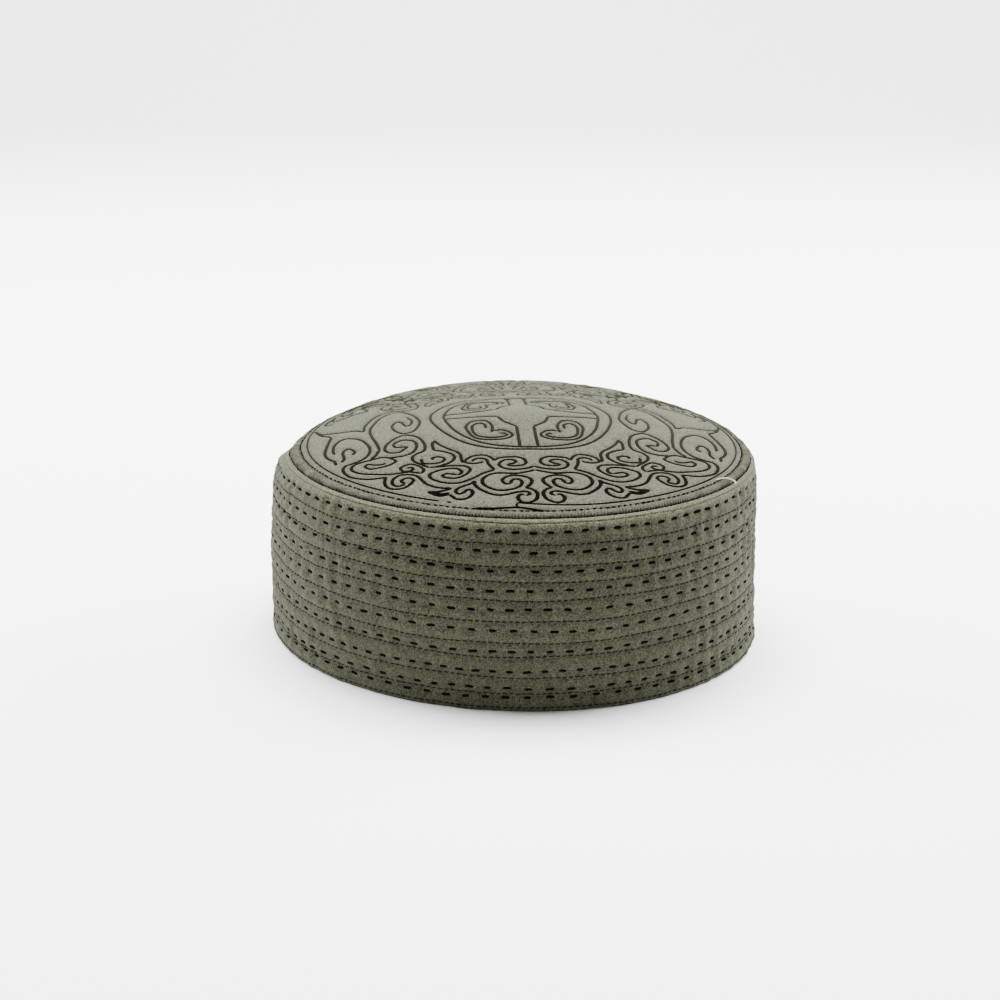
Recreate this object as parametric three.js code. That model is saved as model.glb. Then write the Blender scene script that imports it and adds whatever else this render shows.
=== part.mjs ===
// Prayer cap: a quilted side band, a corded rim and a slightly domed top panel.
// Millimetres, +Z up. The origin is on the surface that the cap stands on, under the
// middle of its outline, and the front of the cap faces -Y.
import * as THREE from 'three';

// Side band
const BAND_THICKNESS = 3;
const HEM_BEVEL = 0.8;
const CHANNEL_DEPTH = 0.6;
const QUILT_LINE_HEIGHTS = [6.9, 13.4, 21.6, 27, 35.2, 42.8, 49.2, 54.8, 62.5];

// Rim: the band's folded edge, the cord on it, and the seam ledge under the top panel
const SHOULDER_HEIGHT = 70;
const SHOULDER_RADIUS = 86.6;
const LEDGE_HEIGHT = 69.1;
const LEDGE_THICKNESS = 1.5;
const LEDGE_RADIUS = 81;
const CORD_HALF_WIDTH = 1.5;
const CORD_HALF_HEIGHT = 1.15;
const CORD_SIDES = 10;
const SEAM_GAP = 0.4;

// Top panel
const PANEL_THICKNESS = 2;
const PANEL_EDGE_HEIGHT = 71.4;
const PANEL_RING_RADIUS = 80.7;
const PANEL_RING_HEIGHT = 72;
const DOME_SLOPE = 0.15;
const DOME_TIP_RADIUS = 5;
const DOME_RINGS = 8;

// The soft rim is wide at the front left and narrow at the back right, because the top
// panel sits off the band's middle
const RIM_RADIUS = 89.1;
const RIM_START_HEIGHT = 60;
const RIM_FULL_HEIGHT = 68;
const PANEL_SHIFT_X = 1;
const PANEL_SHIFT_Y = 2.9;

// The middle of the back stands a little higher than the rest
const BACK_RISE = 4.5;
const BACK_RISE_POWER = 4;

// Round the back, the rim sinks below the top panel's edge, most of all on the left
const SINK_LEFT = 4.5;
const SINK_RIGHT = 2;
const SINK_START_HEIGHT = 52;
const SINK_START_RADIUS = 78;
const SINK_HALF_WIDTH = 0.2;

const SEGMENTS = 72;

// Outer radius of the band at each height
const BAND_SECTIONS = [
  { height: 0, radius: 93 },
  { height: 15, radius: 92.6 },
  { height: 35, radius: 91.8 },
  { height: 50, radius: 91 },
  { height: 62.5, radius: 89.8 },
  { height: 66.2, radius: RIM_RADIUS },
  { height: 68.2, radius: 88.6 },
  { height: 69.4, radius: 87.8 },
  { height: SHOULDER_HEIGHT, radius: SHOULDER_RADIUS },
];

// How the soft cap is squeezed out of round: front and back are the depth of each half
// over the radius, shiftX and shiftY move the section, and skew slides its left side back
const LEAN_SECTIONS = [
  { height: 0, front: 0.955, back: 0.915, shiftX: -0.2, shiftY: 5.2, skew: -0.07 },
  { height: 35, front: 0.978, back: 0.965, shiftX: -0.5, shiftY: 0.8, skew: -0.07 },
  { height: 62.5, front: 0.975, back: 0.965, shiftX: 0.9, shiftY: -0.5, skew: -0.08 },
  { height: SHOULDER_HEIGHT, front: 0.97, back: 0.965, shiftX: 2, shiftY: -0.2, skew: -0.05 },
];

// Value of one column of a section table at a height
function sectionAt(sections, column, height) {
  const last = sections.length - 1;
  const above = sections.findIndex((section) => section.height >= height);
  if (above === 0) return sections[0][column];
  if (above < 0) return sections[last][column];
  const lower = sections[above - 1];
  const upper = sections[above];
  const part = (height - lower.height) / (upper.height - lower.height);
  return THREE.MathUtils.lerp(lower[column], upper[column], part);
}

// How far the rim sinks at a point of the round cap
function rimSink(point) {
  const { clamp, lerp, smoothstep } = THREE.MathUtils;
  const radius = Math.hypot(point.x, point.y);
  const reach = Math.max(radius, PANEL_RING_RADIUS);
  const depth = lerp(SINK_RIGHT, SINK_LEFT, (1 - point.x / reach) / 2);
  const outwards = clamp((radius - SINK_START_RADIUS) / (SHOULDER_RADIUS - SINK_START_RADIUS), 0, 1);
  const upwards = clamp((point.z - SINK_START_HEIGHT) / (RIM_FULL_HEIGHT - SINK_START_HEIGHT), 0, 1);
  return depth * outwards * upwards * smoothstep(point.y / reach, -SINK_HALF_WIDTH, SINK_HALF_WIDTH);
}

// Moves a point of a round cap to its place on the real, slightly leaning one
function leanPoint(point) {
  const { clamp } = THREE.MathUtils;
  const radius = Math.hypot(point.x, point.y);
  const halfDepth = sectionAt(LEAN_SECTIONS, point.y < 0 ? 'front' : 'back', point.z);
  const skew = sectionAt(LEAN_SECTIONS, 'skew', point.z);
  const inwards = clamp((RIM_RADIUS - radius) / (RIM_RADIUS - PANEL_RING_RADIUS), 0, 1);
  const upwards = clamp((point.z - RIM_START_HEIGHT) / (RIM_FULL_HEIGHT - RIM_START_HEIGHT), 0, 1);
  const backwards = point.y / Math.max(radius, PANEL_RING_RADIUS);
  const lift = (BACK_RISE / PANEL_RING_HEIGHT) * ((1 + backwards) / 2) ** BACK_RISE_POWER;
  return new THREE.Vector3(
    point.x + sectionAt(LEAN_SECTIONS, 'shiftX', point.z) + PANEL_SHIFT_X * inwards * upwards,
    point.y * halfDepth +
      point.x * skew +
      sectionAt(LEAN_SECTIONS, 'shiftY', point.z) +
      PANEL_SHIFT_Y * inwards * upwards,
    point.z * (1 + lift) - rimSink(point),
  );
}

// A closed ring or disc, turned from a profile of [radius, height] points and then leaned
function turnedPiece(name, profile, material) {
  const points = profile.map(([radius, height]) => new THREE.Vector2(radius, height));
  const geometry = new THREE.LatheGeometry(points, SEGMENTS);
  geometry.rotateX(Math.PI / 2);
  const position = geometry.getAttribute('position');
  for (let index = 0; index < position.count; index += 1) {
    const point = new THREE.Vector3().fromBufferAttribute(position, index);
    const moved = leanPoint(point);
    position.setXYZ(index, moved.x, moved.y, moved.z);
  }
  geometry.computeVertexNormals();
  const mesh = new THREE.Mesh(geometry, material);
  mesh.name = name;
  return mesh;
}

// Outer face of the band from hem to shoulder: a sunken channel at each quilting line
// and a full rib between two lines
function bandOuterProfile() {
  const bandTop = BAND_SECTIONS.filter((section) => section.height > QUILT_LINE_HEIGHTS.at(-1));
  const profile = [
    [BAND_SECTIONS[0].radius - HEM_BEVEL, 0],
    [BAND_SECTIONS[0].radius, HEM_BEVEL],
  ];
  let lower = HEM_BEVEL;
  for (const line of QUILT_LINE_HEIGHTS) {
    const rib = (lower + line) / 2;
    profile.push([sectionAt(BAND_SECTIONS, 'radius', rib), rib]);
    profile.push([sectionAt(BAND_SECTIONS, 'radius', line) - CHANNEL_DEPTH, line]);
    lower = line;
  }
  for (const section of bandTop) {
    profile.push([section.radius, section.height]);
  }
  return profile;
}

// Quilted band: outer face, folded edge, seam ledge and plain inner face
function sideBand(material) {
  const ledgeUnderside = LEDGE_HEIGHT - LEDGE_THICKNESS;
  const innerTop = ledgeUnderside - 2;
  const innerHeights = [innerTop, 50, 35, 15, 0];
  const profile = bandOuterProfile();
  profile.push([SHOULDER_RADIUS, LEDGE_HEIGHT]);
  profile.push([LEDGE_RADIUS, LEDGE_HEIGHT]);
  profile.push([LEDGE_RADIUS, ledgeUnderside]);
  profile.push([sectionAt(BAND_SECTIONS, 'radius', innerTop) - BAND_THICKNESS - 2, ledgeUnderside]);
  for (const height of innerHeights) {
    profile.push([sectionAt(BAND_SECTIONS, 'radius', height) - BAND_THICKNESS, height]);
  }
  profile.push(profile[0]);
  return turnedPiece('side_band', profile, material);
}

// Corded roll in the groove between the band's folded edge and the top panel
function rimPiping(material) {
  const centreRadius = SHOULDER_RADIUS - SEAM_GAP - CORD_HALF_WIDTH;
  const centreHeight = LEDGE_HEIGHT + SEAM_GAP + CORD_HALF_HEIGHT;
  const profile = [];
  for (let side = 0; side <= CORD_SIDES; side += 1) {
    const angle = (2 * Math.PI * (side % CORD_SIDES)) / CORD_SIDES - Math.PI / 2;
    profile.push([
      centreRadius + CORD_HALF_WIDTH * Math.cos(angle),
      centreHeight + CORD_HALF_HEIGHT * Math.sin(angle),
    ]);
  }
  return turnedPiece('rim_piping', profile, material);
}

// Height of the top panel's outer face at a radius inside the embroidered ring: a shallow
// cone with a rounded tip
function domeHeight(radius) {
  const ringSide = Math.hypot(PANEL_RING_RADIUS, DOME_TIP_RADIUS);
  const side = Math.hypot(radius, DOME_TIP_RADIUS);
  return PANEL_RING_HEIGHT + DOME_SLOPE * (ringSide - side);
}

// Top panel: a shallow dome of even thickness with a thinner flat edge on the seam ledge
function crownTop(material) {
  const edgeRadius = SHOULDER_RADIUS - 2 * (SEAM_GAP + CORD_HALF_WIDTH);
  const underside = LEDGE_HEIGHT + SEAM_GAP;
  const profile = [];
  for (let ring = 0; ring <= DOME_RINGS; ring += 1) {
    const radius = (LEDGE_RADIUS * ring) / DOME_RINGS;
    profile.push([radius, Math.max(domeHeight(radius) - PANEL_THICKNESS, underside)]);
  }
  profile.push([edgeRadius, underside]);
  profile.push([edgeRadius, PANEL_EDGE_HEIGHT - 0.4]);
  profile.push([edgeRadius - 0.6, PANEL_EDGE_HEIGHT]);
  for (let ring = DOME_RINGS; ring >= 0; ring -= 1) {
    const radius = (PANEL_RING_RADIUS * ring) / DOME_RINGS;
    profile.push([radius, domeHeight(radius)]);
  }
  return turnedPiece('crown_top', profile, material);
}

const bandCloth = new THREE.MeshStandardMaterial({ color: 0x6c6d5d, roughness: 0.92, metalness: 0 });
const topCloth = new THREE.MeshStandardMaterial({ color: 0x8f907f, roughness: 0.9, metalness: 0 });
const cordCloth = new THREE.MeshStandardMaterial({ color: 0x77786a, roughness: 0.9, metalness: 0 });

const group = new THREE.Group();
group.add(sideBand(bandCloth));
group.add(rimPiping(cordCloth));
group.add(crownTop(topCloth));

// Puts the origin under the middle of the cap's outline
const outline = new THREE.Box3().setFromObject(group);
const middle = outline.getCenter(new THREE.Vector3());
group.position.set(-middle.x, -middle.y, 0);
group.updateMatrixWorld(true);

export default group;
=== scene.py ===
import math
import random

import bpy
import numpy as np
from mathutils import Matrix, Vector
from mathutils.kdtree import KDTree


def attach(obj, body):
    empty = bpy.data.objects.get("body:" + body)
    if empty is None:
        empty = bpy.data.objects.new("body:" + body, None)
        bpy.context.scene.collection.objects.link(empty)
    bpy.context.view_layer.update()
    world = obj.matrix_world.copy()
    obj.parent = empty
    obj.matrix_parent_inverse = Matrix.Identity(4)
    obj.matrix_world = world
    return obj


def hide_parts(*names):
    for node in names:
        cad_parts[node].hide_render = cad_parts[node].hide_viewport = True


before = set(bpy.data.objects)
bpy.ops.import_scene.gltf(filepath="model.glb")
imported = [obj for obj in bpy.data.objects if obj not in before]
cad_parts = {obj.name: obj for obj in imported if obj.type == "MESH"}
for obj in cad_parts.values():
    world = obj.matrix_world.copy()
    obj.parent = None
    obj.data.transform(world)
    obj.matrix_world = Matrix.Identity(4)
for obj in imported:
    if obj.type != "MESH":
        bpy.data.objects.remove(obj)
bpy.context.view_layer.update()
scatter = random.Random(11)

# Side band: wall, folded edge at its top, and the seam ledge that carries the panel
BAND_THICKNESS = 3.0
HEM_ROUNDING = 0.9
SHOULDER_HEIGHT = 70.0
SHOULDER_START = 66.2
SHOULDER_CENTRE_RADIUS = 86.2
SHOULDER_HALF_WIDTH = 2.9
LEDGE_HEIGHT = 69.1
LEDGE_THICKNESS = 1.5
LEDGE_RADIUS = 81.0
BAND_COLUMNS = 640
BAND_ROWS = 92
SHOULDER_ROWS = 26
INNER_ROWS = 16
INNER_RELIEF_SHARE = 0.4

# Thin sunken line along the folded edge. Places over the fold are turns in radians, from 0
# at the wall to a right angle at the top
WELT_TURN = 0.95
WELT_HALF_TURN = 0.065
WELT_WANDER = 0.6
WELT_DEPTH = 0.45
FOLD_SWELL = 0.3

# Short slanting creases over the fold, with bearings in degrees
CREASES = [
    {"bearing": -9.5, "turn": 1.0, "slant": 6.0, "depth": 0.6},
    {"bearing": 1.6, "turn": 0.85, "slant": 5.0, "depth": 0.6},
    {"bearing": 37.0, "turn": 0.85, "slant": -5.0, "depth": 0.35},
]
CREASE_HALF_WIDTH = 0.95
CREASE_HALF_TURN = 0.42

# Top panel: a shallow cone with a rounded tip, bent down at its edge
PANEL_RING_RADIUS = 80.7
PANEL_RING_HEIGHT = 72.0
PANEL_EDGE_RADIUS = 82.8
PANEL_EDGE_DROP = 1.2
PANEL_EDGE_FOOT = 70.2
PANEL_UNDERSIDE = 69.5
PANEL_THICKNESS = 2.0
PANEL_SLACK = 0.3
PANEL_PUFF = 0.16
PANEL_PUFF_WIDTH = 4.0
DOME_SLOPE = 0.15
DOME_TIP_RADIUS = 5.0
PANEL_MIDDLE_RADIUS = 0.4
PANEL_EDGE_START = 81.1
PANEL_COLUMNS = 620
PANEL_FACE_ROWS = 116
PANEL_EDGE_ROWS = 5
PANEL_INNER_ROWS = 14

# Corded roll between the band's folded edge and the panel
CORD_RADIUS = 84.3
CORD_HEIGHT = 70.3
CORD_HALF_WIDTH = 1.65
CORD_HALF_HEIGHT = 1.15
CORD_WRAPS = 470
CORD_SWELL = 0.06
WRAP_RIDGE = 0.1
WRAP_SLANT = 2.6
STEPS_PER_WRAP = 8
CORD_SIDES = 14

# How the soft cap is squeezed out of round
RIM_RADIUS = 89.1
RIM_START_HEIGHT = 60.0
RIM_FULL_HEIGHT = 68.0
PANEL_SHIFT_X = 1.0
PANEL_SHIFT_Y = 2.9
OUTLINE_SHIFT_X = 0.2
OUTLINE_SHIFT_Y = -0.694

# The middle of the back stands higher, and the rim sinks round the back, most on the left
BACK_RISE = 5.2
BACK_RISE_POWER = 4
SINK_LEFT = 5.2
SINK_RIGHT = 1.0
SINK_START_HEIGHT = 52.0
SINK_START_RADIUS = 78.0
SINK_FULL_RADIUS = 89.5
SINK_POWER = 1.5
SINK_HALF_WIDTH = 0.2

# Outer radius of the band at each height
BAND_SECTIONS = [
    {"height": 0.0, "radius": 93.0},
    {"height": 15.0, "radius": 92.6},
    {"height": 35.0, "radius": 91.8},
    {"height": 50.0, "radius": 91.0},
    {"height": 62.5, "radius": 89.8},
    {"height": 66.2, "radius": 89.1},
]

# Depth of the front and back half over the radius, place and skew of the section
LEAN_SECTIONS = [
    {"height": 0.0, "front": 0.955, "back": 0.915, "x": -0.2, "y": 5.2, "skew": -0.07},
    {"height": 35.0, "front": 0.978, "back": 0.965, "x": -0.5, "y": 0.8, "skew": -0.07},
    {"height": 62.5, "front": 0.975, "back": 0.965, "x": 0.9, "y": -0.5, "skew": -0.08},
    {"height": 70.0, "front": 0.97, "back": 0.965, "x": 2.0, "y": -0.2, "skew": -0.05},
]

# Running-stitch rows of thick black thread: height, distance from stitch to stitch, and how
# much higher a row runs at the left side
DASH_ROWS = [
    {"height": 66.6, "pitch": 5.8},
    {"height": 59.8, "pitch": 6.2, "left": -0.6},
    {"height": 52.9, "pitch": 7.2, "left": 1.0},
    {"height": 46.2, "pitch": 6.9},
    {"height": 39.3, "pitch": 7.0},
    {"height": 31.6, "pitch": 6.8},
    {"height": 23.5, "pitch": 6.8},
    {"height": 16.0, "pitch": 5.9},
    {"height": 9.0, "pitch": 6.9},
    {"height": 5.35, "pitch": 7.6},
]
DASH_LENGTH = 3.15
DASH_HALF_WIDTH = 0.5
DASH_HALF_HEIGHT = 0.2
DASH_LIFT = 0.2
DASH_PHASE_WANDER = 1.1
DASH_LENGTH_SPREAD = (0.86, 1.18)
DASH_HEIGHT_SCATTER = 0.18
DASH_TILT_SCATTER = 0.1

# Heights of the thin sewn lines between the rows
SEWN_LINES = [62.5, 54.8, 49.2, 42.8, 35.2, 27.0, 21.6, 13.4, 6.9, 1.7]
SEWN_STITCH = 2.3
SEWN_HALF_WIDTH = 0.26
SEWN_HALF_HEIGHT = 0.18
SEWN_LIFT = 0.08
SEWN_TILT = 0.05
SEWN_TILT_SCATTER = 0.04
SEWN_LENGTH_SPREAD = (0.95, 1.2)
LINE_WANDER = 0.28
LINE_CALM_HEIGHT = 4.0
STITCH_END_DIP = 0.15

# Relief of the quilted wall: slow swells, small folds at the sides, sunken sewn channels,
# and a pucker at each thick stitch
SLOW_SWELL = 0.25
SHORT_SWELL = 0.16
SIDE_FOLD_DEPTH = 0.2
CHANNEL_DEPTH = 0.68
CHANNEL_HALF_WIDTH = 1.1
DASH_ROW_DEPTH = 0.3
DASH_ROW_HALF_WIDTH = 0.9
PUCKER_DEPTH = 0.5
PUCKER_HALF_HEIGHT = 2.8

# The relief fades out towards the top of the fold
RELIEF_END_HEIGHT = 71.5
RELIEF_FADE_HEIGHT = 4.0
RELIEF_LEAST = 0.35

# The left side stands a little fuller below the fold
LEFT_SWELL = 1.2
LEFT_SWELL_HEIGHT = 60.0
LEFT_SWELL_HALF_HEIGHT = 12.0

# Painted shade of the cloth, where 0 is darkest, and how much darker the channels and grooves are
# painted
WALL_SHADE = 0.88
FOLD_SHADE = 0.98
RELIEF_SHADE = 0.45
GROOVE_SHADE = 0.6

# How much painted highlight lightens the cloth over the fold, most in front, and painted light towards
# the hem
FOLD_PAINTED_HIGHLIGHT = 0.7
FOLD_PAINTED_HIGHLIGHT_IN_FRONT = 0.6
HEM_PAINTED_LIGHT = 0.5
HEM_PAINTED_LIGHT_HEIGHT = 22.0

# Embroidery: how its charts sit on the panel, and the thread that follows them
PATTERN_TURN = math.radians(5.0)
PATTERN_SHIFT_X = 0.5
PATTERN_RADIUS = 79.0
MEDALLION_TURN = math.radians(4.2)
MEDALLION_SHIFT_X = 0.75
MIRROR_Y = 4.0
MIRROR_BEND = 20.0
THREAD_STEP = 0.6
THREAD_HALF_WIDTH = 0.62
THREAD_HALF_HEIGHT = 0.24
THREAD_TWIST_DEPTH = 0.14
THREAD_TWIST_PITCH = 1.9
THREAD_SIDES = 6
THREAD_DIP = 0.24
THREAD_DIP_HALF_WIDTH = 0.95

# Black ring sewn near the panel's edge, whose right end drifts inwards
RING_RADIUS = 80.3
RING_HALF_WIDTH = 0.26
RING_END_DRIFT = 3.0
RING_DRIFT_DEGREES = 22.0
REPAIR_HALF_WIDTH = 0.36

# Loose thread at the roll's end: where it starts, how far it swings round and reaches out
END_THREAD_BEARING = 56.5
END_THREAD_SWING = 4.6
END_THREAD_RADIUS = 82.6
END_THREAD_REACH = 5.8
END_THREAD_HEIGHT = 72.2
END_THREAD_DROP = 1.4
END_THREAD_RIPPLE = 0.25
END_THREAD_HALF_WIDTH = 0.24
END_THREAD_HALF_HEIGHT = 0.2

# Fine structure of cloth and thread in repeats for each metre, how a mesh's painted shade
# darkens the cloth and its painted light lightens it, and the colours of faded thread
FIBRE_SCALE = 2100
FLECK_SCALE = 800
BLOTCH_SCALE = 45
STRAND_SCALE = 2400
PAINTED_LIGHT_CONTRAST = 0.44
PAINTED_SHADE_DARKEST = 0.62
FADED_DARK = (0.011, 0.0114, 0.0076)
FADED_LIGHT = (0.026, 0.0267, 0.0185)

# Floor, in metres
SWEEP_START = 1.6
SWEEP_RADIUS = 0.75
SWEEP_STEPS = 18
FLOOR_COLUMNS = 96

# Places of the outer and the inner cloth in a piece's list of materials
OUTER = 0
INNER = 1

# Sine parts in each wave round the cap
WAVE_PARTS = 6

# First seeds of the waves that bend each sewn line, each row and its spacing and puckers
LINE_SEED = 100
ROW_SEED = 200
PHASE_SEED = 300
PUCKER_SEED = 400


def column(sections, name, place, key="height"):
    """The named value of a table at a place between its rows."""
    places = [row[key] for row in sections]
    return np.interp(place, places, [row[name] for row in sections])


def around(radius, bearing, height):
    """Points of the round cap at a bearing from its front, counted to the right."""
    radius, bearing, height = np.broadcast_arrays(radius, bearing, height)
    return np.stack([radius * np.sin(bearing), -radius * np.cos(bearing), height], axis=-1)


def rim_sink(x, y, z):
    """How far the rim sinks below the panel's edge, round the back and most on the left."""
    radius = np.hypot(x, y)
    reach = np.maximum(radius, PANEL_RING_RADIUS)
    depth = SINK_RIGHT + (SINK_LEFT - SINK_RIGHT) * (1 - x / reach) / 2
    outwards = np.clip((radius - SINK_START_RADIUS) / (SINK_FULL_RADIUS - SINK_START_RADIUS), 0, 1)
    upwards = np.clip((z - SINK_START_HEIGHT) / (RIM_FULL_HEIGHT - SINK_START_HEIGHT), 0, 1)
    part = np.clip((y / reach + SINK_HALF_WIDTH) / (2 * SINK_HALF_WIDTH), 0, 1)
    return depth * outwards**SINK_POWER * upwards * part * part * (3 - 2 * part)


def lean(points):
    """Moves points of a round cap to their place on the real one, and gives metres."""
    x, y, z = points[..., 0], points[..., 1], points[..., 2]
    radius = np.hypot(x, y)
    front = column(LEAN_SECTIONS, "front", z)
    back = column(LEAN_SECTIONS, "back", z)
    half_depth = np.where(y < 0, front, back)
    inwards = np.clip((RIM_RADIUS - radius) / (RIM_RADIUS - PANEL_RING_RADIUS), 0, 1)
    upwards = np.clip((z - RIM_START_HEIGHT) / (RIM_FULL_HEIGHT - RIM_START_HEIGHT), 0, 1)
    backwards = y / np.maximum(radius, PANEL_RING_RADIUS)
    lift = BACK_RISE / PANEL_RING_HEIGHT * ((1 + backwards) / 2) ** BACK_RISE_POWER
    moved_x = x + column(LEAN_SECTIONS, "x", z) + PANEL_SHIFT_X * inwards * upwards
    moved_y = y * half_depth + x * column(LEAN_SECTIONS, "skew", z)
    moved_y = moved_y + column(LEAN_SECTIONS, "y", z) + PANEL_SHIFT_Y * inwards * upwards
    moved_z = z * (1 + lift) - rim_sink(x, y, z)
    place = [moved_x + OUTLINE_SHIFT_X, moved_y + OUTLINE_SHIFT_Y, moved_z]
    return np.stack(place, axis=-1) / 1000


def wave(bearing, seed, lowest, highest):
    """An irregular wave round the cap, from about -1 to 1, in lowest to highest turns."""
    pick = random.Random(seed)
    total = np.zeros_like(np.asarray(bearing, float))
    for _ in range(WAVE_PARTS):
        turns = pick.randint(lowest, highest)
        total = total + np.sin(turns * bearing + pick.uniform(0, 2 * math.pi))
    return total / math.sqrt(WAVE_PARTS * 1.5)


def dash_count(row):
    """Whole number of stitches that fits round the band."""
    return round(2 * math.pi * column(BAND_SECTIONS, "radius", row["height"]) / row["pitch"])


def line_height(bearing, height, seed):
    """A sewn line wanders a little up and down round the band, less so near the hem."""
    calm = min(1.0, height / LINE_CALM_HEIGHT)
    return height + LINE_WANDER * wave(bearing, seed, 2, 13) * calm


def dash_height(bearing, index):
    """Height of a stitch row, which may run higher or lower at the left."""
    row = DASH_ROWS[index]
    left = row.get("left", 0.0) * np.maximum(0, -np.sin(bearing))
    return line_height(bearing, row["height"], ROW_SEED + index) + left


def dash_phase(bearing, index):
    """Lets the stitches of a row run a little ahead of or behind even spacing."""
    return DASH_PHASE_WANDER * wave(bearing, PHASE_SEED + index, 1, 9)


def wall_relief(bearing, height):
    """How far the quilted cloth stands out from the plain band, in mm."""
    relief = SLOW_SWELL * wave(bearing, 1, 3, 11) * np.sin(np.pi * np.clip(height / 70, 0, 1))
    relief = relief + SHORT_SWELL * wave(bearing + height / 60, 2, 12, 34)
    folds = wave(bearing + height / 900, 9, 50, 110)
    relief = relief + SIDE_FOLD_DEPTH * np.sin(bearing) ** 2 * folds
    upper = np.exp(-(((height - LEFT_SWELL_HEIGHT) / LEFT_SWELL_HALF_HEIGHT) ** 2))
    relief = relief + LEFT_SWELL * np.maximum(0, -np.sin(bearing)) ** 3 * upper
    for index, line in enumerate(SEWN_LINES[:-1]):
        gap = height - line_height(bearing, line, LINE_SEED + index)
        relief = relief - CHANNEL_DEPTH * np.exp(-((gap / CHANNEL_HALF_WIDTH) ** 2))
    for index, row in enumerate(DASH_ROWS):
        gap = height - dash_height(bearing, index)
        along = np.cos(dash_count(row) * bearing + dash_phase(bearing, index))
        size = 1 + 0.5 * wave(bearing, PUCKER_SEED + index, 5, 40)
        pucker = size * (0.5 + 0.5 * along) * np.exp(-((gap / PUCKER_HALF_HEIGHT) ** 2))
        relief = relief - DASH_ROW_DEPTH * np.exp(-((gap / DASH_ROW_HALF_WIDTH) ** 2))
        relief = relief - PUCKER_DEPTH * pucker
    fade = np.clip((RELIEF_END_HEIGHT - height) / RELIEF_FADE_HEIGHT, RELIEF_LEAST, 1)
    return relief * fade


def wall_point(bearing, height, out=0.0):
    """A point on the outer wall, or out millimetres outside it."""
    radius = column(BAND_SECTIONS, "radius", height)
    over = np.clip((height - SHOULDER_START) / (SHOULDER_HEIGHT - SHOULDER_START), 0, 1)
    curve = SHOULDER_CENTRE_RADIUS + SHOULDER_HALF_WIDTH * np.sqrt(1 - over**2)
    radius = np.where(height > SHOULDER_START, curve, radius)
    return around(radius + wall_relief(bearing, height) + out, bearing, height)


def panel_height(radius):
    """Height of the panel's outer face: a shallow cone with a rounded tip."""
    ring_side = math.hypot(PANEL_RING_RADIUS, DOME_TIP_RADIUS)
    dome = PANEL_RING_HEIGHT + DOME_SLOPE * (ring_side - np.hypot(radius, DOME_TIP_RADIUS))
    rim_part = np.clip((radius - PANEL_RING_RADIUS) / (PANEL_EDGE_RADIUS - PANEL_RING_RADIUS), 0, 1)
    return dome - PANEL_EDGE_DROP * rim_part**2


# Meshes
def make_object(name, vertices, faces, materials, face_materials=None, shades=None):
    """A smooth object; shades holds the painted light and shade of each vertex, or how faded its
    thread is.
    """
    mesh = bpy.data.meshes.new(name)
    mesh.from_pydata(vertices.tolist(), [], faces.tolist())
    for material in materials:
        mesh.materials.append(material)
    if face_materials is not None:
        mesh.polygons.foreach_set("material_index", face_materials)
    if shades is not None:
        layer = mesh.attributes.new("shade", "FLOAT", "POINT")
        layer.data.foreach_set("value", shades)
    mesh.polygons.foreach_set("use_smooth", [True] * len(mesh.polygons))
    mesh.update()
    thing = bpy.data.objects.new(name, mesh)
    bpy.context.scene.collection.objects.link(thing)
    return thing


def ring_faces(rows, columns, close_rows):
    """Quads of a grid whose columns run round the cap; its rows may close too."""
    row = np.arange(rows if close_rows else rows - 1)[:, None]
    col = np.arange(columns)[None, :]
    next_row = (row + 1) % rows
    next_col = (col + 1) % columns
    corners = [
        row * columns + col,
        row * columns + next_col,
        next_row * columns + next_col,
        next_row * columns + col,
    ]
    return np.stack(np.broadcast_arrays(*corners), axis=-1).reshape(-1, 4)


def tube_mesh(paths, half_width, half_height, sides, ripple=0.0, ripple_pitch=1.0, widths=None):
    """Flattened threads, thin at both ends. Each path is (points, ups), in metres."""
    all_vertices, all_faces = [], []
    start = 0
    angle = 2 * np.pi * np.arange(sides) / sides
    for index, (points, ups) in enumerate(paths):
        ahead = np.gradient(points, axis=0)
        ahead = ahead / np.maximum(np.linalg.norm(ahead, axis=1, keepdims=True), 1e-12)
        side = np.cross(ahead, ups)
        side = side / np.maximum(np.linalg.norm(side, axis=1, keepdims=True), 1e-12)
        up = np.cross(side, ahead)
        steps = np.linalg.norm(np.diff(points, axis=0), axis=1)
        along = np.concatenate([[0.0], np.cumsum(steps)]) * 1000
        from_end = np.minimum(along, along[-1] - along)
        size = 1 + ripple * np.cos(2 * np.pi * along / ripple_pitch)
        size = size * np.sqrt(np.clip(from_end / (half_width * 1.3), 0.02, 1))
        width = half_width if widths is None else half_width * widths[index][:, None]
        across = width * size[:, None] * np.cos(angle)[None, :]
        above = half_height * size[:, None] * np.sin(angle)[None, :]
        ring = points[:, None, :] + across[..., None] * side[:, None, :] / 1000
        ring = ring + above[..., None] * up[:, None, :] / 1000
        all_vertices.append(ring.reshape(-1, 3))
        all_faces.append(ring_faces(len(points), sides, False) + start)
        start += len(points) * sides
    return np.concatenate(all_vertices), np.concatenate(all_faces)


def cloth_object(name, rows, materials, kinds, shades):
    """A closed ring of cloth from rows of points. Its rows are of the OUTER or INNER kind."""
    points = lean(np.stack(rows)).reshape(-1, 3)
    columns = len(rows[0])
    faces = ring_faces(len(rows), columns, True)
    face_kinds = np.repeat(kinds, columns)
    return make_object(name, points, faces, materials, face_kinds, np.concatenate(shades))


# Materials
def new_material(name):
    material = bpy.data.materials.new(name)
    material.use_nodes = True
    nodes = material.node_tree.nodes
    return material, nodes, material.node_tree.links, nodes["Principled BSDF"]


def noise(nodes, links, place, scale, detail, roughness):
    texture = nodes.new("ShaderNodeTexNoise")
    texture.inputs["Scale"].default_value = scale
    texture.inputs["Detail"].default_value = detail
    texture.inputs["Roughness"].default_value = roughness
    links.new(place.outputs["Object"], texture.inputs["Vector"])
    return texture.outputs["Fac"]


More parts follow.
